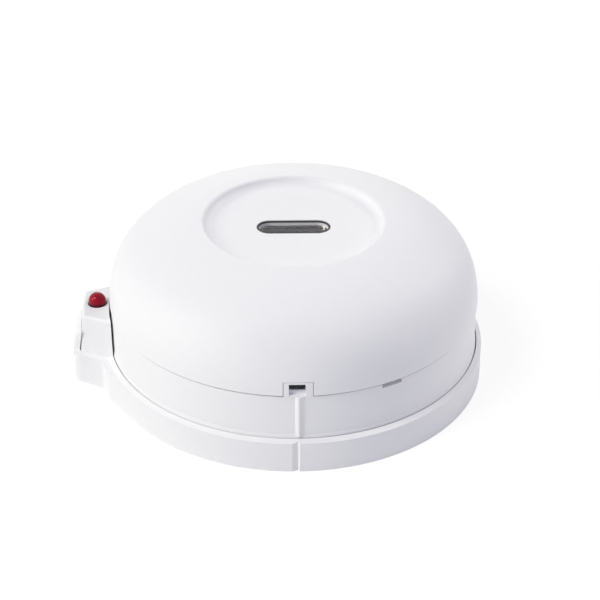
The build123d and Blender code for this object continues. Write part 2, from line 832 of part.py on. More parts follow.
# Terminals of the base: a plate with a sprung leaf, a tab for a lead, a washer and a screw
terminal_top = terminal_seat_height + terminal_thickness
with BuildPart() as base_contacts:
    for angle in terminal_angles:
        middle = terminal_seat_height + terminal_thickness / 2
        with BuildSketch(tangent_plane(angle, terminal_radius - terminal_width / 2)):
            with BuildLine():
                Polyline(
                    (-terminal_length / 2, middle),
                    (terminal_length / 2, middle),
                    (terminal_length / 2 + 0.5 * leaf_reach, middle + leaf_rise),
                    (terminal_length / 2 + leaf_reach, middle + leaf_rise),
                )
            trace(line_width=terminal_thickness)
        extrude(amount=terminal_width)
        with BuildSketch(radial_plane(angle)):
            with Locations((terminal_radius + terminal_width / 2, terminal_top)):
                Rectangle(
                    terminal_thickness,
                    terminal_top - base_floor - running_gap,
                    align=(Align.MIN, Align.MAX),
                )
        extrude(amount=terminal_tab_width / 2, both=True)
    with BuildSketch(Plane.XY.offset(base_floor)):
        with Locations(*terminal_screw_places):
            Circle(terminal_screw_radius + seat_gap)
    extrude(amount=terminal_top, mode=Mode.SUBTRACT)
base_contacts.part.label = "base_contacts"
export_step(base_contacts.part, "parts/base_contacts.step")

with BuildPart() as terminal_washers:
    with BuildSketch(Plane.XY.offset(terminal_top + seat_gap)):
        for angle, place in zip(terminal_angles, terminal_screw_places):
            with Locations(Location((*place, 0), angle)):
                Rectangle(terminal_washer_size, terminal_washer_size)
            with Locations(place):
                Circle(terminal_screw_radius + seat_gap, mode=Mode.SUBTRACT)
    extrude(amount=terminal_washer_thickness)
terminal_washers.part.label = "terminal_washers"
export_step(terminal_washers.part, "parts/terminal_washers.step")

with BuildPart() as terminal_screws:
    terminal_screw_seat = terminal_top + terminal_washer_thickness + 2 * seat_gap
    pan_screws(
        terminal_screw_places,
        terminal_screw_seat,
        terminal_screw_head_radius,
        terminal_screw_head_height,
        terminal_screw_radius,
        terminal_screw_seat - base_floor / 2 - 2 * seat_gap,
    )
terminal_screws.part.label = "terminal_screws"
export_step(terminal_screws.part, "parts/terminal_screws.step")

# Lower housing: collar, deck, spigot, and what stands on them
boss_places = [polar(boss_circle, boss_angle + 90 * i) for i in range(4)]
tab_half_angle = degrees(atan(tab_width / collar_radius))
rail_inner = latch_half_width + latch_wing + running_gap
rail_top = latch_floor + latch_wing_height + running_gap + rail_wall
leaf_top = terminal_top + leaf_rise
blade_bottom = leaf_top + running_gap
contact_seat = deck_bottom - terminal_thickness

with BuildPart() as lower_housing:
    with BuildSketch(Plane.XZ):
        Polygon(
            (0, deck_bottom),
            (collar_bore, deck_bottom),
            (collar_bore, skirt_foot),
            (collar_foot_radius, skirt_foot),
            (collar_foot_radius, base_rim_height),
            (collar_radius, base_rim_height + collar_flare_rise),
            (collar_radius, seam_height),
            (spigot_radius, seam_height),
            (spigot_radius, spigot_top),
            (spigot_radius - spigot_wall, spigot_top),
            (spigot_radius - spigot_wall, seam_height - spigot_wall),
            (collar_bore, seam_height - 2 * spigot_wall),
            (collar_bore, deck_top),
            (0, deck_top),
            align=None,
        )
    revolve(axis=Axis.Z)
    # Tab in the cover's front notch
    with BuildSketch(Plane.XY.offset(seam_height)):
        with Locations((tab_shift, -collar_radius)):
            Rectangle(tab_width, 2 * collar_wall)
        add(
            ring_sector(
                spigot_radius - spigot_wall,
                tab_radius,
                -90 - tab_half_angle,
                -90 + tab_half_angle,
            ),
            mode=Mode.INTERSECT,
        )
    extrude(amount=tab_rise)
    # Lugs of the bayonet under the deck
    for angle in bayonet_angles:
        with BuildSketch(radial_plane(angle - lug_foot_half_angle)):
            Polygon(
                (lug_web_inner, lug_foot_height),
                (lug_foot_radius, lug_foot_height),
                (lug_foot_radius, lug_foot_height + lug_foot_thickness),
                (lug_web_outer, lug_foot_height + lug_foot_thickness),
                (lug_web_outer, deck_bottom),
                (lug_web_inner, deck_bottom),
                align=None,
            )
        revolve(axis=Axis.Z, revolution_arc=2 * lug_foot_half_angle)
    # Alignment rib
    with BuildSketch(Plane.XY.offset(base_rim_height + rib_foot_gap)):
        with Locations((0, -collar_radius)):
            Polygon(
                (rib_left, rib_proud),
                (rib_left, 0),
                (rib_crest - rib_flat / 2, -rib_proud),
                (rib_crest + rib_flat / 2, -rib_proud),
                (rib_right, 0),
                (rib_right, rib_proud),
                align=None,
            )
    extrude(amount=seam_height - base_rim_height - rib_foot_gap)
    # Bosses of the main board, rails and stop wall of the latch
    with BuildSketch(Plane.XY.offset(deck_top)):
        with Locations(*boss_places):
            Circle(boss_radius)
    extrude(amount=boss_height)
    with BuildSketch(Plane.XZ.offset(latch_face_radius)):
        for side in (1, -1):
            Polygon(
                (side * rail_inner, deck_top),
                (side * (rail_inner + rail_wall), deck_top),
                (side * (rail_inner + rail_wall), rail_top),
                (side * (latch_half_width + running_gap), rail_top),
                (side * (latch_half_width + running_gap), rail_top - rail_wall),
                (side * rail_inner, rail_top - rail_wall),
                align=None,
            )
    extrude(amount=-latch_length - latch_travel)
    with BuildSketch(Plane.XY.offset(deck_top)):
        with Locations((0, latch_back + spring_length)):
            Rectangle(2 * latch_half_width, spring_wall, align=(Align.CENTER, Align.MIN))
    extrude(amount=running_gap + latch_height)
    nub_height = latch_floor + latch_height / 2
    with BuildSketch(Plane.XZ.offset(-latch_back - spring_length)):
        with Locations((0, nub_height)):
            Circle(spring_nub_radius)
    extrude(amount=spring_nub_length)
    # Slot of the latch's leg, and room for its arm behind the tab
    with BuildSketch(Plane.XY.offset(deck_bottom)):
        with Locations((0, latch_back - latch_leg_thickness - running_gap)):
            Rectangle(
                2 * (latch_leg_half_width + running_gap),
                latch_leg_thickness + latch_travel + 2 * running_gap,
                align=(Align.CENTER, Align.MIN),
            )
    extrude(amount=deck_thickness, mode=Mode.SUBTRACT)
    with BuildSketch(Plane.XY.offset(seam_height - 3 * spigot_wall)):
        with Locations((0, latch_front - running_gap)):
            Rectangle(
                2 * (latch_arm_half_width + running_gap),
                2 * latch_arm_thickness,
                align=(Align.CENTER, Align.MIN),
            )
    extrude(amount=tab_rise + 3 * spigot_wall, mode=Mode.SUBTRACT)
    # Scooped hole in the tab
    hole_top = tab_top - hole_drop
    hole_bottom = hole_top - hole_height
    with BuildSketch(Plane.YZ.offset(hole_shift - hole_width / 2)):
        Polygon(
            (-tab_radius - scoop_lip, seam_height + scoop_lip),
            (-tab_radius, seam_height + scoop_lip),
            (scoop_floor_depth - tab_radius, seam_height + scoop_lip + scoop_floor_rise),
            (scoop_depth - tab_radius, hole_bottom),
            (latch_front + scoop_lip, hole_bottom),
            (latch_front + scoop_lip, hole_top),
            (-tab_radius - scoop_lip, hole_top),
            align=None,
        )
    extrude(amount=hole_width, mode=Mode.SUBTRACT)
    # Pry slot in the collar's top edge
    with BuildSketch(Plane.XY.offset(seam_height - pry_slot_height)):
        with Locations(Location((*polar(collar_radius, pry_slot_angle), 0), pry_slot_angle)):
            Rectangle(2 * pry_slot_depth, pry_slot_length)
    extrude(amount=pry_slot_height, mode=Mode.SUBTRACT)
    # Holes of the board screws and of the contact posts
    with BuildSketch(Plane.XY.offset(board_level)):
        with Locations(*boss_places):
            Circle(board_screw_radius + seat_gap)
    extrude(amount=-boss_height, mode=Mode.SUBTRACT)
    with BuildSketch(Plane.XY.offset(deck_bottom)):
        with Locations(*post_places):
            Circle(post_radius + seat_gap)
    extrude(amount=deck_thickness, mode=Mode.SUBTRACT)
lower_housing.part.label = "lower_housing"
export_step(lower_housing.part, "parts/lower_housing.step")

# Blades that wipe the base's leaves, and the posts that hold them to the deck
with BuildPart() as head_contacts:
    for angle in terminal_angles:
        low = blade_bottom + terminal_thickness / 2
        high = contact_seat + terminal_thickness / 2
        with BuildSketch(tangent_plane(angle, terminal_radius - blade_width / 2)):
            with BuildLine():
                Polyline(
                    (blade_start, low),
                    (blade_start + blade_length, low),
                    (blade_start + blade_length + blade_riser, high),
                    (post_shift + post_head_radius + blade_end, high),
                )
            trace(line_width=terminal_thickness)
        extrude(amount=blade_width)
    with BuildSketch(Plane.XY.offset(blade_bottom)):
        with Locations(*post_places):
            Circle(post_radius + seat_gap)
    extrude(amount=deck_bottom, mode=Mode.SUBTRACT)
head_contacts.part.label = "head_contacts"
export_step(head_contacts.part, "parts/head_contacts.step")

with BuildPart() as contact_posts:
    with BuildSketch(Plane.XY.offset(contact_seat - post_head_height)):
        with Locations(*post_places):
            Circle(post_head_radius)
    extrude(amount=post_head_height)
    with BuildSketch(Plane.XY.offset(contact_seat)):
        with Locations(*post_places):
            Circle(post_radius)
    extrude(amount=board_level - contact_seat)
contact_posts.part.label = "contact_posts"
export_step(contact_posts.part, "parts/contact_posts.step")

# Release latch and its spring
with BuildPart() as release_latch:
    with BuildSketch(Plane.XY.offset(latch_floor)):
        with Locations((0, latch_front)):
            Rectangle(2 * latch_half_width, latch_length, align=(Align.CENTER, Align.MIN))
    extrude(amount=latch_height)
    with BuildSketch(Plane.XY.offset(latch_floor)):
        with Locations((0, latch_front + running_gap)):
            Rectangle(
                2 * (latch_half_width + latch_wing),
                latch_length - running_gap,
                align=(Align.CENTER, Align.MIN),
            )
    extrude(amount=latch_wing_height)
    with BuildSketch(Plane.XY.offset(latch_floor)):
        with Locations((0, latch_front)):
            Rectangle(
                2 * latch_arm_half_width, latch_arm_thickness, align=(Align.CENTER, Align.MIN)
            )
    extrude(amount=hole_top - latch_floor)
    with BuildSketch(Plane.XY.offset(hole_bottom + running_gap)):
        with Locations((hole_shift, latch_nose_setback - tab_radius)):
            Rectangle(
                hole_width - 2 * running_gap,
                tab_radius - latch_nose_setback + latch_front + latch_arm_thickness,
                align=(Align.CENTER, Align.MIN),
            )
    extrude(amount=hole_height - 2 * running_gap)
    with BuildSketch(Plane.XY.offset(lug_foot_height)):
        with Locations((0, latch_back - latch_leg_thickness)):
            Rectangle(
                2 * latch_leg_half_width, latch_leg_thickness, align=(Align.CENTER, Align.MIN)
            )
    extrude(amount=latch_floor - lug_foot_height)
    with BuildSketch(Plane.XY.offset(lug_foot_height)):
        with Locations((0, latch_foot_front)):
            Rectangle(
                2 * latch_leg_half_width,
                latch_leg_thickness + latch_foot_reach,
                align=(Align.CENTER, Align.MIN),
            )
    extrude(amount=latch_foot_height)
    with BuildSketch(Plane.XZ.offset(-latch_back)):
        with Locations((0, nub_height)):
            Circle(spring_nub_radius)
    extrude(amount=-spring_nub_length)
release_latch.part.label = "release_latch"
export_step(release_latch.part, "parts/release_latch.step")

coil_length = spring_length - 2 * spring_wire_radius - 2 * seat_gap
with BuildPart() as latch_spring:
    with BuildLine() as coil:
        Helix(
            pitch=coil_length / spring_turns,
            height=coil_length,
            radius=spring_radius,
            center=(0, latch_back + spring_wire_radius + seat_gap, nub_height),
            direction=(0, 1, 0),
        )
    with BuildSketch(Plane(coil.line @ 0, z_dir=coil.line % 0)):
        Circle(spring_wire_radius)
    sweep(is_frenet=True)
latch_spring.part.label = "latch_spring"
export_step(latch_spring.part, "parts/latch_spring.step")

# Main board and what is soldered to it
with BuildPart() as main_board:
    with BuildSketch(Plane.XY.offset(board_level)):
        Circle(main_board_radius)
        with Locations(*boss_places):
            Circle(board_screw_radius + seat_gap, mode=Mode.SUBTRACT)
        with GridLocations(spacer_spacing_x, spacer_spacing_y, 2, 2):
            Circle(spacer_screw_radius + seat_gap, mode=Mode.SUBTRACT)
    extrude(amount=board_thickness)
main_board.part.label = "main_board"
export_step(main_board.part, "parts/main_board.step")

with BuildPart() as board_screws:
    pan_screws(
        boss_places,
        board_top,
        board_screw_head_radius,
        board_screw_head_height,
        board_screw_radius,
        board_thickness + boss_height - seat_gap,
    )
board_screws.part.label = "board_screws"
export_step(board_screws.part, "parts/board_screws.step")

with BuildPart() as microcontroller:
    with BuildSketch(Plane.XY.offset(board_top + chip_standoff)):
        with Locations(chip_place):
            Rectangle(chip_size, chip_size)
    extrude(amount=chip_thickness)
    chamfer(microcontroller.faces().sort_by(Axis.Z)[-1].edges(), length=chip_leg_thickness)
    for turn in (0, 90):
        with BuildSketch(Plane.XY.offset(board_top)):
            with Locations(Location((*chip_place, 0), turn)):
                with GridLocations(chip_leg_pitch, 0, 8, 1):
                    Rectangle(chip_leg_width, chip_leg_span)
        extrude(amount=chip_leg_thickness)
microcontroller.part.label = "microcontroller"
export_step(microcontroller.part, "parts/microcontroller.step")

with BuildPart() as amplifier_chips:
    with BuildSketch(Plane.XY.offset(board_top)):
        with Locations(*amplifier_places):
            with GridLocations(amplifier_leg_pitch, 0, 4, 1):
                Rectangle(chip_leg_width, amplifier_leg_span)
    extrude(amount=chip_leg_thickness)
    with BuildSketch(Plane.XY.offset(board_top + chip_standoff)):
        with Locations(*amplifier_places):
            Rectangle(amplifier_length, amplifier_width)
    extrude(amount=chip_thickness)
amplifier_chips.part.label = "amplifier_chips"
export_step(amplifier_chips.part, "parts/amplifier_chips.step")

with BuildPart() as electrolytic_capacitors:
    with BuildSketch(Plane.XY.offset(board_top)):
        with Locations(*capacitor_places):
            Circle(capacitor_radius)
    extrude(amount=capacitor_height)
    fillet(electrolytic_capacitors.edges().group_by(Axis.Z)[-1], radius=capacitor_radius / 10)
    with BuildSketch(Plane.XY.offset(board_top + capacitor_height)):
        with Locations(*capacitor_places):
            Rectangle(1.4 * capacitor_radius, capacitor_score)
            Rectangle(capacitor_score, 1.4 * capacitor_radius)
    extrude(amount=-capacitor_score, mode=Mode.SUBTRACT)
electrolytic_capacitors.part.label = "electrolytic_capacitors"
export_step(electrolytic_capacitors.part, "parts/electrolytic_capacitors.step")

with BuildPart() as film_capacitors:
    with BuildSketch(Plane.XY.offset(board_top)):
        with Locations(*film_capacitor_places):
            RectangleRounded(film_capacitor_width, film_capacitor_length, film_capacitor_width / 8)
    extrude(amount=film_capacitor_height)
film_capacitors.part.label = "film_capacitors"
export_step(film_capacitors.part, "parts/film_capacitors.step")

with BuildPart() as chip_resistors:
    with BuildSketch(Plane.XY.offset(board_top)):
        with Locations(resistor_place):
            with GridLocations(resistor_pitch_x, resistor_pitch_y, 4, 3):
                Rectangle(resistor_width, resistor_length)
    extrude(amount=resistor_height)
chip_resistors.part.label = "chip_resistors"
export_step(chip_resistors.part, "parts/chip_resistors.step")

with BuildPart() as crystal:
    with BuildSketch(Plane.XY.offset(board_top)):
        with Locations(crystal_place):
            SlotOverall(crystal_length + 2 * crystal_flange, crystal_width + 2 * crystal_flange)
    extrude(amount=crystal_flange)
    with BuildSketch(Plane.XY.offset(board_top)):
        with Locations(crystal_place):
            SlotOverall(crystal_length, crystal_width)
    extrude(amount=crystal_height)
    fillet(crystal.edges().group_by(Axis.Z)[-1], radius=crystal_flange)
crystal.part.label = "crystal"
export_step(crystal.part, "parts/crystal.step")

# Sensor board on its pillars, with the sensors, their shroud and the pin header
with BuildPart() as board_spacers:
    with BuildSketch(Plane.XY.offset(board_top)):
        with GridLocations(spacer_spacing_x, spacer_spacing_y, 2, 2):
            RegularPolygon(spacer_radius, 6)
    extrude(amount=spacer_height)
    with BuildSketch(Plane.XY.offset(board_top)):
        with GridLocations(spacer_spacing_x, spacer_spacing_y, 2, 2):
            Circle(spacer_screw_radius)
    extrude(amount=-board_thickness)
    with BuildSketch(Plane.XY.offset(sensor_board_level)):
        with GridLocations(spacer_spacing_x, spacer_spacing_y, 2, 2):
            Circle(spacer_screw_radius + seat_gap)
    extrude(amount=-spacer_height / 2, mode=Mode.SUBTRACT)
board_spacers.part.label = "board_spacers"
export_step(board_spacers.part, "parts/board_spacers.step")

sensor_places = [(-sensor_spacing / 2, 0), (sensor_spacing / 2, 0)]
with BuildPart() as sensor_board:
    with BuildSketch(Plane.XY.offset(sensor_board_level)):
        RectangleRounded(sensor_board_length, sensor_board_width, sensor_board_round)
        with GridLocations(spacer_spacing_x, spacer_spacing_y, 2, 2):
            Circle(spacer_screw_radius + seat_gap, mode=Mode.SUBTRACT)
        with Locations(*sensor_places):
            with PolarLocations(sensor_pin_circle, 3, start_angle=90):
                Circle(sensor_pin_radius + seat_gap, mode=Mode.SUBTRACT)
        with Locations((0, link_y)):
            with GridLocations(link_pitch, 0, link_pins, 1):
                Circle(link_pin_size, mode=Mode.SUBTRACT)
    extrude(amount=board_thickness)
sensor_board.part.label = "sensor_board"
export_step(sensor_board.part, "parts/sensor_board.step")

with BuildPart() as sensor_board_screws:
    spacer_screw_places = [
        (x * spacer_spacing_x / 2, y * spacer_spacing_y / 2) for x in (-1, 1) for y in (-1, 1)
    ]
    pan_screws(
        spacer_screw_places,
        sensor_board_top,
        2 * spacer_screw_radius,
        1.2 * spacer_screw_radius,
        spacer_screw_radius,
        board_thickness + sensor_screw_depth,
    )
sensor_board_screws.part.label = "sensor_board_screws"
export_step(sensor_board_screws.part, "parts/sensor_board_screws.step")

with BuildPart() as board_link:
    with BuildSketch(Plane.XY.offset(board_top)):
        with Locations((0, link_y)):
            Rectangle(link_pitch * link_pins, link_pitch)
    extrude(amount=link_pitch)
    with BuildSketch(Plane.XY.offset(sensor_board_level)):
        with Locations((0, link_y)):
            Rectangle(link_pitch * link_pins, link_pitch)
    extrude(amount=-link_pitch)
    with BuildSketch(Plane.XY.offset(board_top)):
        with Locations((0, link_y)):
            with GridLocations(link_pitch, 0, link_pins, 1):
                Rectangle(link_pin_size, link_pin_size)
    extrude(amount=sensor_board_top + link_pin_size - board_top)
board_link.part.label = "board_link"
export_step(board_link.part, "parts/board_link.step")

with BuildPart() as flame_sensors:
    with BuildSketch(Plane.XY.offset(sensor_board_top)):
        with Locations(*sensor_places):
            Circle(sensor_flange_radius)
    extrude(amount=sensor_height / 8)
    with BuildSketch(Plane.XY.offset(sensor_board_top)):
        with Locations(*sensor_places):
            Circle(sensor_can_radius)
    extrude(amount=sensor_height)
    fillet(flame_sensors.edges().group_by(Axis.Z)[-1], radius=0.3)
    with BuildSketch(Plane.XY.offset(sensor_board_top + sensor_height)):
        with Locations(*sensor_places):
            Circle(sensor_filter_radius + seat_gap)
    extrude(amount=-1.5 * sensor_filter_thickness, mode=Mode.SUBTRACT)
flame_sensors.part.label = "flame_sensors"
export_step(flame_sensors.part, "parts/flame_sensors.step")

with BuildPart() as sensor_filters:
    with BuildSketch(Plane.XY.offset(sensor_board_top + sensor_height)):
        with Locations(*sensor_places):
            Circle(sensor_filter_radius)
    extrude(amount=-1.5 * sensor_filter_thickness)
    with BuildSketch(Plane.XY.offset(sensor_board_top + sensor_height)):
        with Locations(*sensor_places):
            Circle(sensor_filter_radius)
    extrude(amount=-0.5 * sensor_filter_thickness, mode=Mode.SUBTRACT)
sensor_filters.part.label = "sensor_filters"
export_step(sensor_filters.part, "parts/sensor_filters.step")

with BuildPart() as sensor_pins:
    with BuildSketch(Plane.XY.offset(sensor_board_top)):
        with Locations(*sensor_places):
            with PolarLocations(sensor_pin_circle, 3, start_angle=90):
                Circle(sensor_pin_radius)
    extrude(amount=-2 * board_thickness)
sensor_pins.part.label = "sensor_pins"
export_step(sensor_pins.part, "parts/sensor_pins.step")

with BuildPart() as sensor_shroud:
    inner_length = sensor_spacing + 2 * sensor_flange_radius + 2 * running_gap
    inner_width = 2 * sensor_flange_radius + 2 * running_gap
    with BuildSketch(Plane.XY.offset(sensor_board_top)):
        SlotOverall(inner_length + 2 * shroud_wall, inner_width + 2 * shroud_wall)
        SlotOverall(inner_length, inner_width, mode=Mode.SUBTRACT)
    extrude(amount=shroud_height)
sensor_shroud.part.label = "sensor_shroud"
export_step(sensor_shroud.part, "parts/sensor_shroud.step")
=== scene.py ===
import math

import bpy
from mathutils import Matrix, Vector


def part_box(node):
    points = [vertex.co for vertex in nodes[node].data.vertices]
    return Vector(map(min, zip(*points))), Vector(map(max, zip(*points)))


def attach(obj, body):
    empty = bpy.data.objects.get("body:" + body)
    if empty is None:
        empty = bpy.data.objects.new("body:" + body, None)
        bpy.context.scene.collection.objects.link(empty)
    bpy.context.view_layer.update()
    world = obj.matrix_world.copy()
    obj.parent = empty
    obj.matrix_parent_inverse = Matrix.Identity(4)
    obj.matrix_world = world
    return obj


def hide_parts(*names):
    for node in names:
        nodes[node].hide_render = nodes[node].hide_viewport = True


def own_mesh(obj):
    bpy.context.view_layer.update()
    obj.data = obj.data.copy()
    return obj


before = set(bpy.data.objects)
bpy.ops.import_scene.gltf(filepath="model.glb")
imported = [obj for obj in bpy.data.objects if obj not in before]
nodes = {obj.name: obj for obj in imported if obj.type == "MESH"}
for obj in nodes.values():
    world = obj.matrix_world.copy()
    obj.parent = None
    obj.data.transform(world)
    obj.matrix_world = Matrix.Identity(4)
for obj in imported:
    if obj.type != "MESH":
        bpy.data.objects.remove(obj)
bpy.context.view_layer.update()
scene = bpy.context.scene
MM = 0.001

# Camera at the photograph's viewing angle
POSITION = Vector((0, -0.5097, 0.3366))
PITCH, YAW, ROLL = 31.784, -0.204, 0.1
SENSOR = 36
FOCAL = 2113 / 600 * SENSOR
TURN = -0.83

pitch, yaw, roll = (math.radians(angle) for angle in (PITCH, YAW, ROLL))
forward = Vector(
    (-math.sin(yaw) * math.cos(pitch), math.cos(yaw) * math.cos(pitch), -math.sin(pitch))
)
level = Vector((math.cos(yaw), math.sin(yaw), 0))
upward = level.cross(forward)
side = level * math.cos(roll) + upward * math.sin(roll)
top = upward * math.cos(roll) - level * math.sin(roll)
pose = Matrix((side, top, -forward)).transposed().to_4x4()
pose.translation = POSITION
lens = bpy.data.cameras.new("camera")
lens.sensor_width = SENSOR
lens.lens = FOCAL
lens.clip_start = 0.01
camera = bpy.data.objects.new("camera", lens)
camera.matrix_world = Matrix.Rotation(math.radians(TURN), 4, "Z") @ pose
scene.collection.objects.link(camera)
scene.camera = camera


class Finish:
    """Node material whose patterns lie on the object's own coordinates, in metres."""

    def __init__(self, name, **sockets):
        self.data = bpy.data.materials.new(name)
        self.data.use_nodes = True
        self.tree = self.data.node_tree
        self.shader = self.tree.nodes["Principled BSDF"]
        for socket, value in sockets.items():
            self.shader.inputs[socket.replace("_", " ")].default_value = value
        coordinates = self.tree.nodes.new("ShaderNodeTexCoord")
        self.place = coordinates.outputs["Object"]
        self.facing = coordinates.outputs["Normal"]
        self.height = None

    def put(self, value, socket):
        if isinstance(value, bpy.types.NodeSocket):
            self.tree.links.new(value, socket)
        else:
            socket.default_value = value

    def math(self, operation, *values):
        node = self.tree.nodes.new("ShaderNodeMath")
        node.operation = operation
        for value, socket in zip(values, node.inputs):
            self.put(value, socket)
        return node.outputs[0]

    def part(self, vector, axis):
        node = self.tree.nodes.new("ShaderNodeSeparateXYZ")
        self.put(vector, node.inputs[0])
        return node.outputs[axis]

    def stretched(self, x, y, z):
        node = self.tree.nodes.new("ShaderNodeMapping")
        self.put(self.place, node.inputs["Vector"])
        node.inputs["Scale"].default_value = (x, y, z)
        return node.outputs[0]

    def noise(self, size, detail=2.0, vector=None):
        """Noise from 0 to 1 whose lumps are about this many millimetres across."""
        node = self.tree.nodes.new("ShaderNodeTexNoise")
        self.put(self.place if vector is None else vector, node.inputs["Vector"])
        node.inputs["Scale"].default_value = 1 / (size * MM)
        node.inputs["Detail"].default_value = detail
        return node.outputs[0]

    def span(self, value, low, high, start=0.0, end=1.0):
        """Stretches a value from start..end to low..high, held at both ends."""
        node = self.tree.nodes.new("ShaderNodeMapRange")
        self.put(value, node.inputs["Value"])
        node.inputs["From Min"].default_value = start
        node.inputs["From Max"].default_value = end
        node.inputs["To Min"].default_value = low
        node.inputs["To Max"].default_value = high
        return node.outputs[0]

    def above(self, value, limit, soft=0.02):
        """1 where the value in millimetres is over the limit, 0 below it."""
        return self.span(value, 0, 1, (limit - soft) * MM, (limit + soft) * MM)

    def blend(self, share, first, second):
        node = self.tree.nodes.new("ShaderNodeMix")
        node.data_type = "RGBA"
        self.put(share, node.inputs["Factor"])
        self.put(first, node.inputs[6])
        self.put(second, node.inputs[7])
        return node.outputs[2]

    def colour(self, value):
        self.put(value, self.shader.inputs["Base Color"])

    def roughness(self, value):
        self.put(value, self.shader.inputs["Roughness"])

    def bump(self, value, depth):
        """Adds relief of this many millimetres from a value of 0 to 1."""
        node = self.tree.nodes.new("ShaderNodeBump")
        node.inputs["Distance"].default_value = depth * MM
        self.put(value, node.inputs["Height"])
        if self.height is not None:
            self.put(self.height, node.inputs["Normal"])
        self.height = node.outputs[0]
        self.put(self.height, self.shader.inputs["Normal"])


def rgb(red, green, blue):
    return (red, green, blue, 1.0)


def moulded(name, pale, deep, gloss, grain, depth, **sockets):
    """Moulded plastic: slow drift in tone, uneven gloss and a fine eroded grain."""
    finish = Finish(name, **sockets)
    drift = finish.math("ADD", finish.noise(24, 3), finish.noise(2.2, 4))
    finish.colour(finish.blend(finish.span(drift, 0, 1, 0.7, 1.3), rgb(*deep), rgb(*pale)))
    finish.roughness(finish.span(finish.noise(7, 5), gloss - 0.05, gloss + 0.07, 0.3, 0.7))
    finish.bump(finish.noise(grain, 3), depth)
    return finish


def metal(name, pale, deep, gloss, stretch=(1, 1, 1), scratch=0.5):
    """Plated or drawn metal: cloudy tone and hairlines along its stretched axis."""
    finish = Finish(name, Metallic=1.0)
    cloud = finish.span(finish.noise(3, 4), 0, 1, 0.35, 0.65)
    finish.colour(finish.blend(cloud, rgb(*deep), rgb(*pale)))
    hairs = finish.noise(scratch, 4, finish.stretched(*stretch))
    finish.roughness(finish.span(hairs, gloss - 0.06, gloss + 0.12, 0.3, 0.7))
    finish.bump(hairs, 0.004)
    return finish


def ended(finish, share, colour, gloss):
    """Lays bare metal over the part of a finish where share is 1."""
    shader = finish.shader
    base = shader.inputs["Base Color"].links[0].from_socket
    rough = shader.inputs["Roughness"].links[0].from_socket
    finish.colour(finish.blend(share, base, rgb(*colour)))
    kept = finish.math("MULTIPLY", rough, finish.math("SUBTRACT", 1.0, share))
    finish.roughness(finish.math("ADD", kept, finish.math("MULTIPLY", share, gloss)))
    finish.put(share, shader.inputs["Metallic"])
    return finish


def off_centre(finish, axis, middle):
    """Distance in metres from a plane square to an axis, given in millimetres."""
    shift = finish.math("SUBTRACT", finish.part(finish.place, axis), middle * MM)
    return finish.math("ABSOLUTE", shift)


def board(name):
    """Circuit board: green mask over copper tracks, with bare laminate at the sawn edge."""
    finish = Finish(name)
    half_pitch, width, edge = 0.635 * MM, 0.16 * MM, 0.2 * MM
    across = finish.math("PINGPONG", finish.part(finish.place, "X"), half_pitch)
    along = finish.math("PINGPONG", finish.part(finish.place, "Y"), half_pitch)
    turns = finish.span(finish.noise(9, 0), 0, 1, 0.49, 0.51)
    upright = finish.math("MULTIPLY", turns, finish.span(across, 1, 0, width, edge))
    rest = finish.math("SUBTRACT", 1.0, turns)
    level = finish.math("MULTIPLY", rest, finish.span(along, 1, 0, width, edge))
    track = finish.math("ADD", upright, level)
    routed = finish.math("MULTIPLY", track, finish.span(finish.noise(5, 1), 0, 1, 0.47, 0.5))
    drift = finish.span(finish.noise(12, 3), 0, 1, 0.3, 0.7)
    mask = finish.blend(drift, rgb(0.008, 0.075, 0.03), rgb(0.012, 0.105, 0.042))
    face = finish.blend(routed, mask, rgb(0.03, 0.2, 0.085))
    flat = finish.span(finish.math("ABSOLUTE", finish.part(finish.facing, "Z")), 0, 1, 0.4, 0.6)
    fibres = finish.noise(0.4, 2, finish.stretched(1, 1, 6))
    weave = finish.blend(fibres, rgb(0.3, 0.25, 0.11), rgb(0.42, 0.37, 0.19))
    finish.colour(finish.blend(flat, weave, face))
    finish.roughness(finish.span(finish.noise(2, 3), 0.28, 0.42, 0.3, 0.7))
    finish.bump(routed, 0.03)
    return finish


# White mouldings
satin = {"Specular_IOR_Level": 0.25}
white_cover = moulded(
    "white_cover", (0.89, 0.89, 0.9), (0.875, 0.875, 0.887), 0.5, 0.22, 0.003, **satin
)
white_base = moulded(
    "white_base", (0.885, 0.885, 0.895), (0.865, 0.865, 0.877), 0.54, 0.3, 0.005, **satin
)
white_lamp = moulded(
    "white_lamp", (0.895, 0.895, 0.903), (0.88, 0.88, 0.89), 0.48, 0.2, 0.003, **satin
)

# Red lamp: deep crimson body with painted shade darkening its foot where it sinks into its hole, with
# fine wear
red_lamp = Finish("red_lamp", Transmission_Weight=0.15, IOR=1.5, Specular_Tint=rgb(1.0, 0.3, 0.42))
low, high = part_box("indicator_led")
# Painted shade: the colour goes to near-black red from 1.9 mm below the lamp's top, fully dark from 3 mm
# down
painted_shade_foot = red_lamp.span(red_lamp.part(red_lamp.place, "Z"), 1, 0, high.z - 3 * MM, high.z - 1.9 * MM)
haze = red_lamp.span(red_lamp.noise(1.6, 3), 0, 1, 0.35, 0.65)
crimson = red_lamp.blend(haze, rgb(0.25, 0.001, 0.009), rgb(0.38, 0.002, 0.019))
red_lamp.colour(red_lamp.blend(painted_shade_foot, crimson, rgb(0.06, 0.001, 0.005)))
red_lamp.roughness(red_lamp.span(red_lamp.noise(0.5, 4), 0.04, 0.09, 0.35, 0.65))
red_lamp.bump(red_lamp.noise(0.8, 3), 0.002)

# Window: gasket and clear pane
black_rubber = moulded("black_rubber", (0.028, 0.027, 0.029), (0.018, 0.017, 0.018), 0.55, 0.25, 0.01)
clear_window = Finish("clear_window", Transmission_Weight=1.0, IOR=1.49)
smear = clear_window.noise(6, 4)
clear_window.colour(clear_window.blend(smear, rgb(0.95, 0.9, 0.92), rgb(0.99, 0.945, 0.96)))
clear_window.roughness(clear_window.span(smear, 0.0, 0.03, 0.45, 0.75))
clear_window.bump(clear_window.noise(9, 2), 0.004)

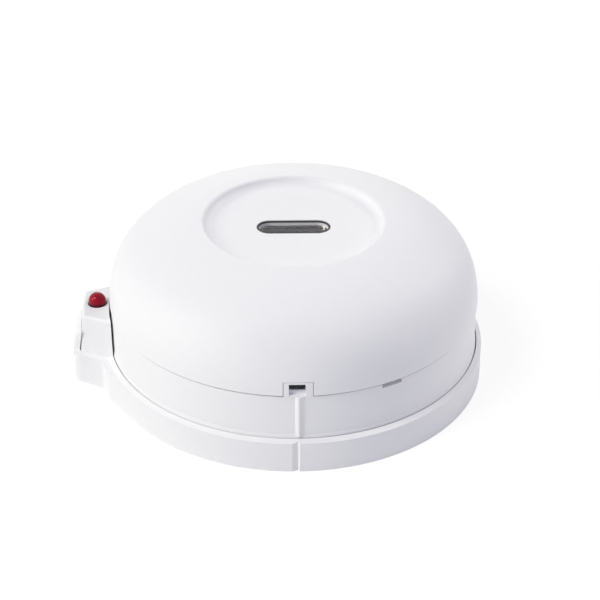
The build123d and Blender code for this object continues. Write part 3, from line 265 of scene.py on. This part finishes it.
# Window frame, latch and spring
black_moulding = moulded(
    "black_moulding", (0.018, 0.021, 0.026), (0.012, 0.014, 0.018), 0.5, 0.3, 0.008, **satin
)
spring_steel = metal("spring_steel", (0.66, 0.65, 0.63), (0.5, 0.49, 0.48), 0.25)

# Screws, terminals and pins
zinc = metal("zinc", (0.72, 0.73, 0.75), (0.55, 0.55, 0.56), 0.32)
brass = metal("brass", (0.8, 0.61, 0.28), (0.66, 0.47, 0.19), 0.26, (1, 8, 8), 2)
nickel_silver = metal("nickel_silver", (0.74, 0.71, 0.63), (0.6, 0.57, 0.49), 0.28, (8, 8, 1), 2)
gold = metal("gold", (0.86, 0.66, 0.27), (0.74, 0.53, 0.2), 0.22)
tin = metal("tin", (0.74, 0.74, 0.73), (0.6, 0.6, 0.6), 0.3)
drawn_can = metal("drawn_can", (0.77, 0.77, 0.76), (0.66, 0.66, 0.65), 0.24, (1, 1, 0.1), 0.6)
nickel_can = metal("nickel_can", (0.74, 0.72, 0.68), (0.62, 0.6, 0.57), 0.2, (1, 1, 0.1), 0.5)

# Boards and black packages; the chips' legs are tinned where they pass the package
TINNED = (0.72, 0.72, 0.71)
CAPPED = (0.74, 0.74, 0.73)
GILT = (0.84, 0.65, 0.28)
green_board = board("green_board")
package = dict(pale=(0.035, 0.035, 0.038), deep=(0.02, 0.02, 0.022), gloss=0.5, grain=0.15, depth=0.01)
chip = moulded("chip", **package)
reach = chip.math("MAXIMUM", off_centre(chip, "X", 0), off_centre(chip, "Y", 26))
ended(chip, chip.above(reach, 5.01), TINNED, 0.3)
amplifier = moulded("amplifier", **package)
reach = amplifier.math("MINIMUM", off_centre(amplifier, "Y", 24), off_centre(amplifier, "Y", -22))
ended(amplifier, amplifier.above(reach, 2.01), TINNED, 0.3)
resistors = moulded("resistors", **package)
along = resistors.math("ADD", resistors.part(resistors.place, "Y"), 24 * MM)
step = resistors.math("PINGPONG", along, 2 * MM)
ended(resistors, resistors.above(step, 0.7), CAPPED, 0.34)
lamp_resistor = moulded("lamp_resistor", **package)
low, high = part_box("lamp_resistor")
step = off_centre(lamp_resistor, "X", (low.x + high.x) / 2 / MM)
capped = lamp_resistor.above(step, (high.x - low.x) / 2 / MM - 0.35)
ended(lamp_resistor, capped, CAPPED, 0.34)
link = moulded("link", **package)
low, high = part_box("board_link")
tall = link.part(link.place, "Z")
below_socket = link.math("SUBTRACT", 1.0, link.above(tall, high.z / MM - 4.8))
bare = link.math("MULTIPLY", link.above(tall, low.z / MM + 2.55), below_socket)
tips = link.above(tall, high.z / MM - 2.3)
ended(link, link.math("MAXIMUM", bare, tips), GILT, 0.24)
black_shroud = moulded("black_shroud", (0.03, 0.03, 0.031), (0.02, 0.02, 0.021), 0.6, 0.3, 0.01)

# Capacitors, filters and wires
sleeve = moulded("sleeve", (0.03, 0.036, 0.1), (0.018, 0.022, 0.07), 0.25, 0.6, 0.004)
low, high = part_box("electrolytic_capacitors")
edge = sleeve.above(sleeve.part(sleeve.place, "X"), high.x / MM - 0.35)
stripe = sleeve.math("MULTIPLY", edge, 0.9)
blue = sleeve.shader.inputs["Base Color"].links[0].from_socket
sleeve.colour(sleeve.blend(stripe, blue, rgb(0.55, 0.56, 0.6)))
ended(sleeve, sleeve.above(sleeve.part(sleeve.place, "Z"), high.z / MM - 0.35), (0.78, 0.78, 0.78), 0.25)
film_box = moulded("film_box", (0.5, 0.075, 0.03), (0.42, 0.055, 0.022), 0.3, 0.5, 0.006)
filter_glass = Finish("filter_glass", Metallic=0.55, Coat_Weight=1.0, Coat_Roughness=0.03)
tint = filter_glass.noise(2, 3)
filter_glass.colour(filter_glass.blend(tint, rgb(0.05, 0.035, 0.05), rgb(0.085, 0.06, 0.075)))
filter_glass.roughness(filter_glass.span(filter_glass.noise(1, 3), 0.08, 0.16, 0.3, 0.7))
wires = moulded("wires", (0.5, 0.02, 0.016), (0.42, 0.014, 0.012), 0.3, 0.4, 0.005)
black_side = wires.above(wires.part(wires.place, "Y"), 0)
red = wires.shader.inputs["Base Color"].links[0].from_socket
wires.colour(wires.blend(black_side, red, rgb(0.02, 0.02, 0.022)))

finishes = {
    "dome_cover": white_cover,
    "lower_housing": white_cover,
    "mounting_base": white_base,
    "lamp_cover": white_lamp,
    "indicator_led": red_lamp,
    "window_gasket": black_rubber,
    "window_lens": clear_window,
    "window_frame": black_moulding,
    "release_latch": black_moulding,
    "latch_spring": spring_steel,
    "base_contacts": brass,
    "head_contacts": nickel_silver,
    "contact_posts": brass,
    "terminal_screws": zinc,
    "terminal_washers": zinc,
    "board_screws": zinc,
    "frame_screws": zinc,
    "sensor_board_screws": zinc,
    "board_spacers": brass,
    "lamp_board": green_board,
    "main_board": green_board,
    "sensor_board": green_board,
    "microcontroller": chip,
    "amplifier_chips": amplifier,
    "chip_resistors": resistors,
    "lamp_resistor": lamp_resistor,
    "board_link": link,
    "sensor_shroud": black_shroud,
    "electrolytic_capacitors": sleeve,
    "film_capacitors": film_box,
    "crystal": drawn_can,
    "flame_sensors": nickel_can,
    "sensor_filters": filter_glass,
    "sensor_pins": gold,
    "led_leads": tin,
    "lamp_wires": wires,
}
for name, finish in finishes.items():
    nodes[name].data.materials.clear()
    nodes[name].data.materials.append(finish.data)

# Latch spring: a copy of the coil with its own mesh rides on the latch's body, and the original spring
# piece is hidden
low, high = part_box("latch_spring")
coil = bpy.data.objects.new("return_coil", nodes["latch_spring"].data.copy())
scene.collection.objects.link(coil)
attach(coil, "latch")
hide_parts("latch_spring")
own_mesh(coil)

# White table that keeps the object's soft shadow
reach = 3
corners = [(-reach, -reach, 0), (reach, -reach, 0), (reach, reach, 0), (-reach, reach, 0)]
mesh = bpy.data.meshes.new("table")
mesh.from_pydata(corners, [], [(0, 1, 2, 3)])
table = bpy.data.objects.new("table", mesh)
scene.collection.objects.link(table)


def seen_rays(tree):
    """1 for rays that show the surroundings: straight, mirrored or through glass."""
    path = tree.nodes.new("ShaderNodeLightPath")
    total = path.outputs["Is Camera Ray"]
    for name in ("Is Glossy Ray", "Is Transmission Ray"):
        node = tree.nodes.new("ShaderNodeMath")
        node.operation = "MAXIMUM"
        tree.links.new(total, node.inputs[0])
        tree.links.new(path.outputs[name], node.inputs[1])
        total = node.outputs[0]
    return total


paper = bpy.data.materials.new("paper")
paper.use_nodes = True
tree = paper.node_tree
shaded = tree.nodes["Principled BSDF"]
shaded.inputs["Base Color"].default_value = (0.92, 0.92, 0.92, 1)
shaded.inputs["Roughness"].default_value = 0.9
shaded.inputs["Specular IOR Level"].default_value = 0
glow = tree.nodes.new("ShaderNodeEmission")
glow.inputs["Strength"].default_value = 1.08
share = tree.nodes.new("ShaderNodeMath")
share.operation = "MULTIPLY"
share.inputs[1].default_value = 0.75
mixed = tree.nodes.new("ShaderNodeMixShader")
tree.links.new(seen_rays(tree), share.inputs[0])
tree.links.new(share.outputs[0], mixed.inputs[0])
tree.links.new(shaded.outputs[0], mixed.inputs[1])
tree.links.new(glow.outputs[0], mixed.inputs[2])
tree.links.new(mixed.outputs[0], tree.nodes["Material Output"].inputs["Surface"])
table.data.materials.append(paper)

# Soft studio lamps: name, elevation, azimuth, strength, tint and apparent width in degrees
LAMPS = [
    ("key", 55, 210, 1.33, (1.0, 0.985, 0.91), 22),
    ("left", 25, 195, 0.91, (0.99, 1.0, 0.82), 22),
    ("back_right", 35, 30, 1.1, (1.0, 0.97, 0.85), 22),
    ("back", 12, 90, 0.15, (0.95, 1.0, 0.7), 22),
]
for name, elevation, azimuth, strength, tint, width in LAMPS:
    rise, bearing = math.radians(elevation), math.radians(azimuth)
    lamp = bpy.data.lights.new(name, "SUN")
    lamp.energy = strength
    lamp.color = tint
    lamp.angle = math.radians(width)
    holder = bpy.data.objects.new(name, lamp)
    toward = Vector(
        (math.cos(rise) * math.cos(bearing), math.cos(rise) * math.sin(bearing), math.sin(rise))
    )
    holder.location = toward
    holder.rotation_euler = toward.to_track_quat("Z", "Y").to_euler()
    scene.collection.objects.link(holder)

# White surroundings, and a faint cool fill from the room
world = bpy.data.worlds.new("room")
world.use_nodes = True
tree = world.node_tree
background = tree.nodes["Background"]
fill = tree.nodes.new("ShaderNodeMix")
fill.data_type = "RGBA"
tree.links.new(seen_rays(tree), fill.inputs["Factor"])
fill.inputs[6].default_value = (0.281, 0.283, 0.38, 1)
fill.inputs[7].default_value = (1, 1, 1, 1)
tree.links.new(fill.outputs[2], background.inputs["Color"])
background.inputs["Strength"].default_value = 1.0
scene.world = world

scene.view_settings.view_transform = "Standard"
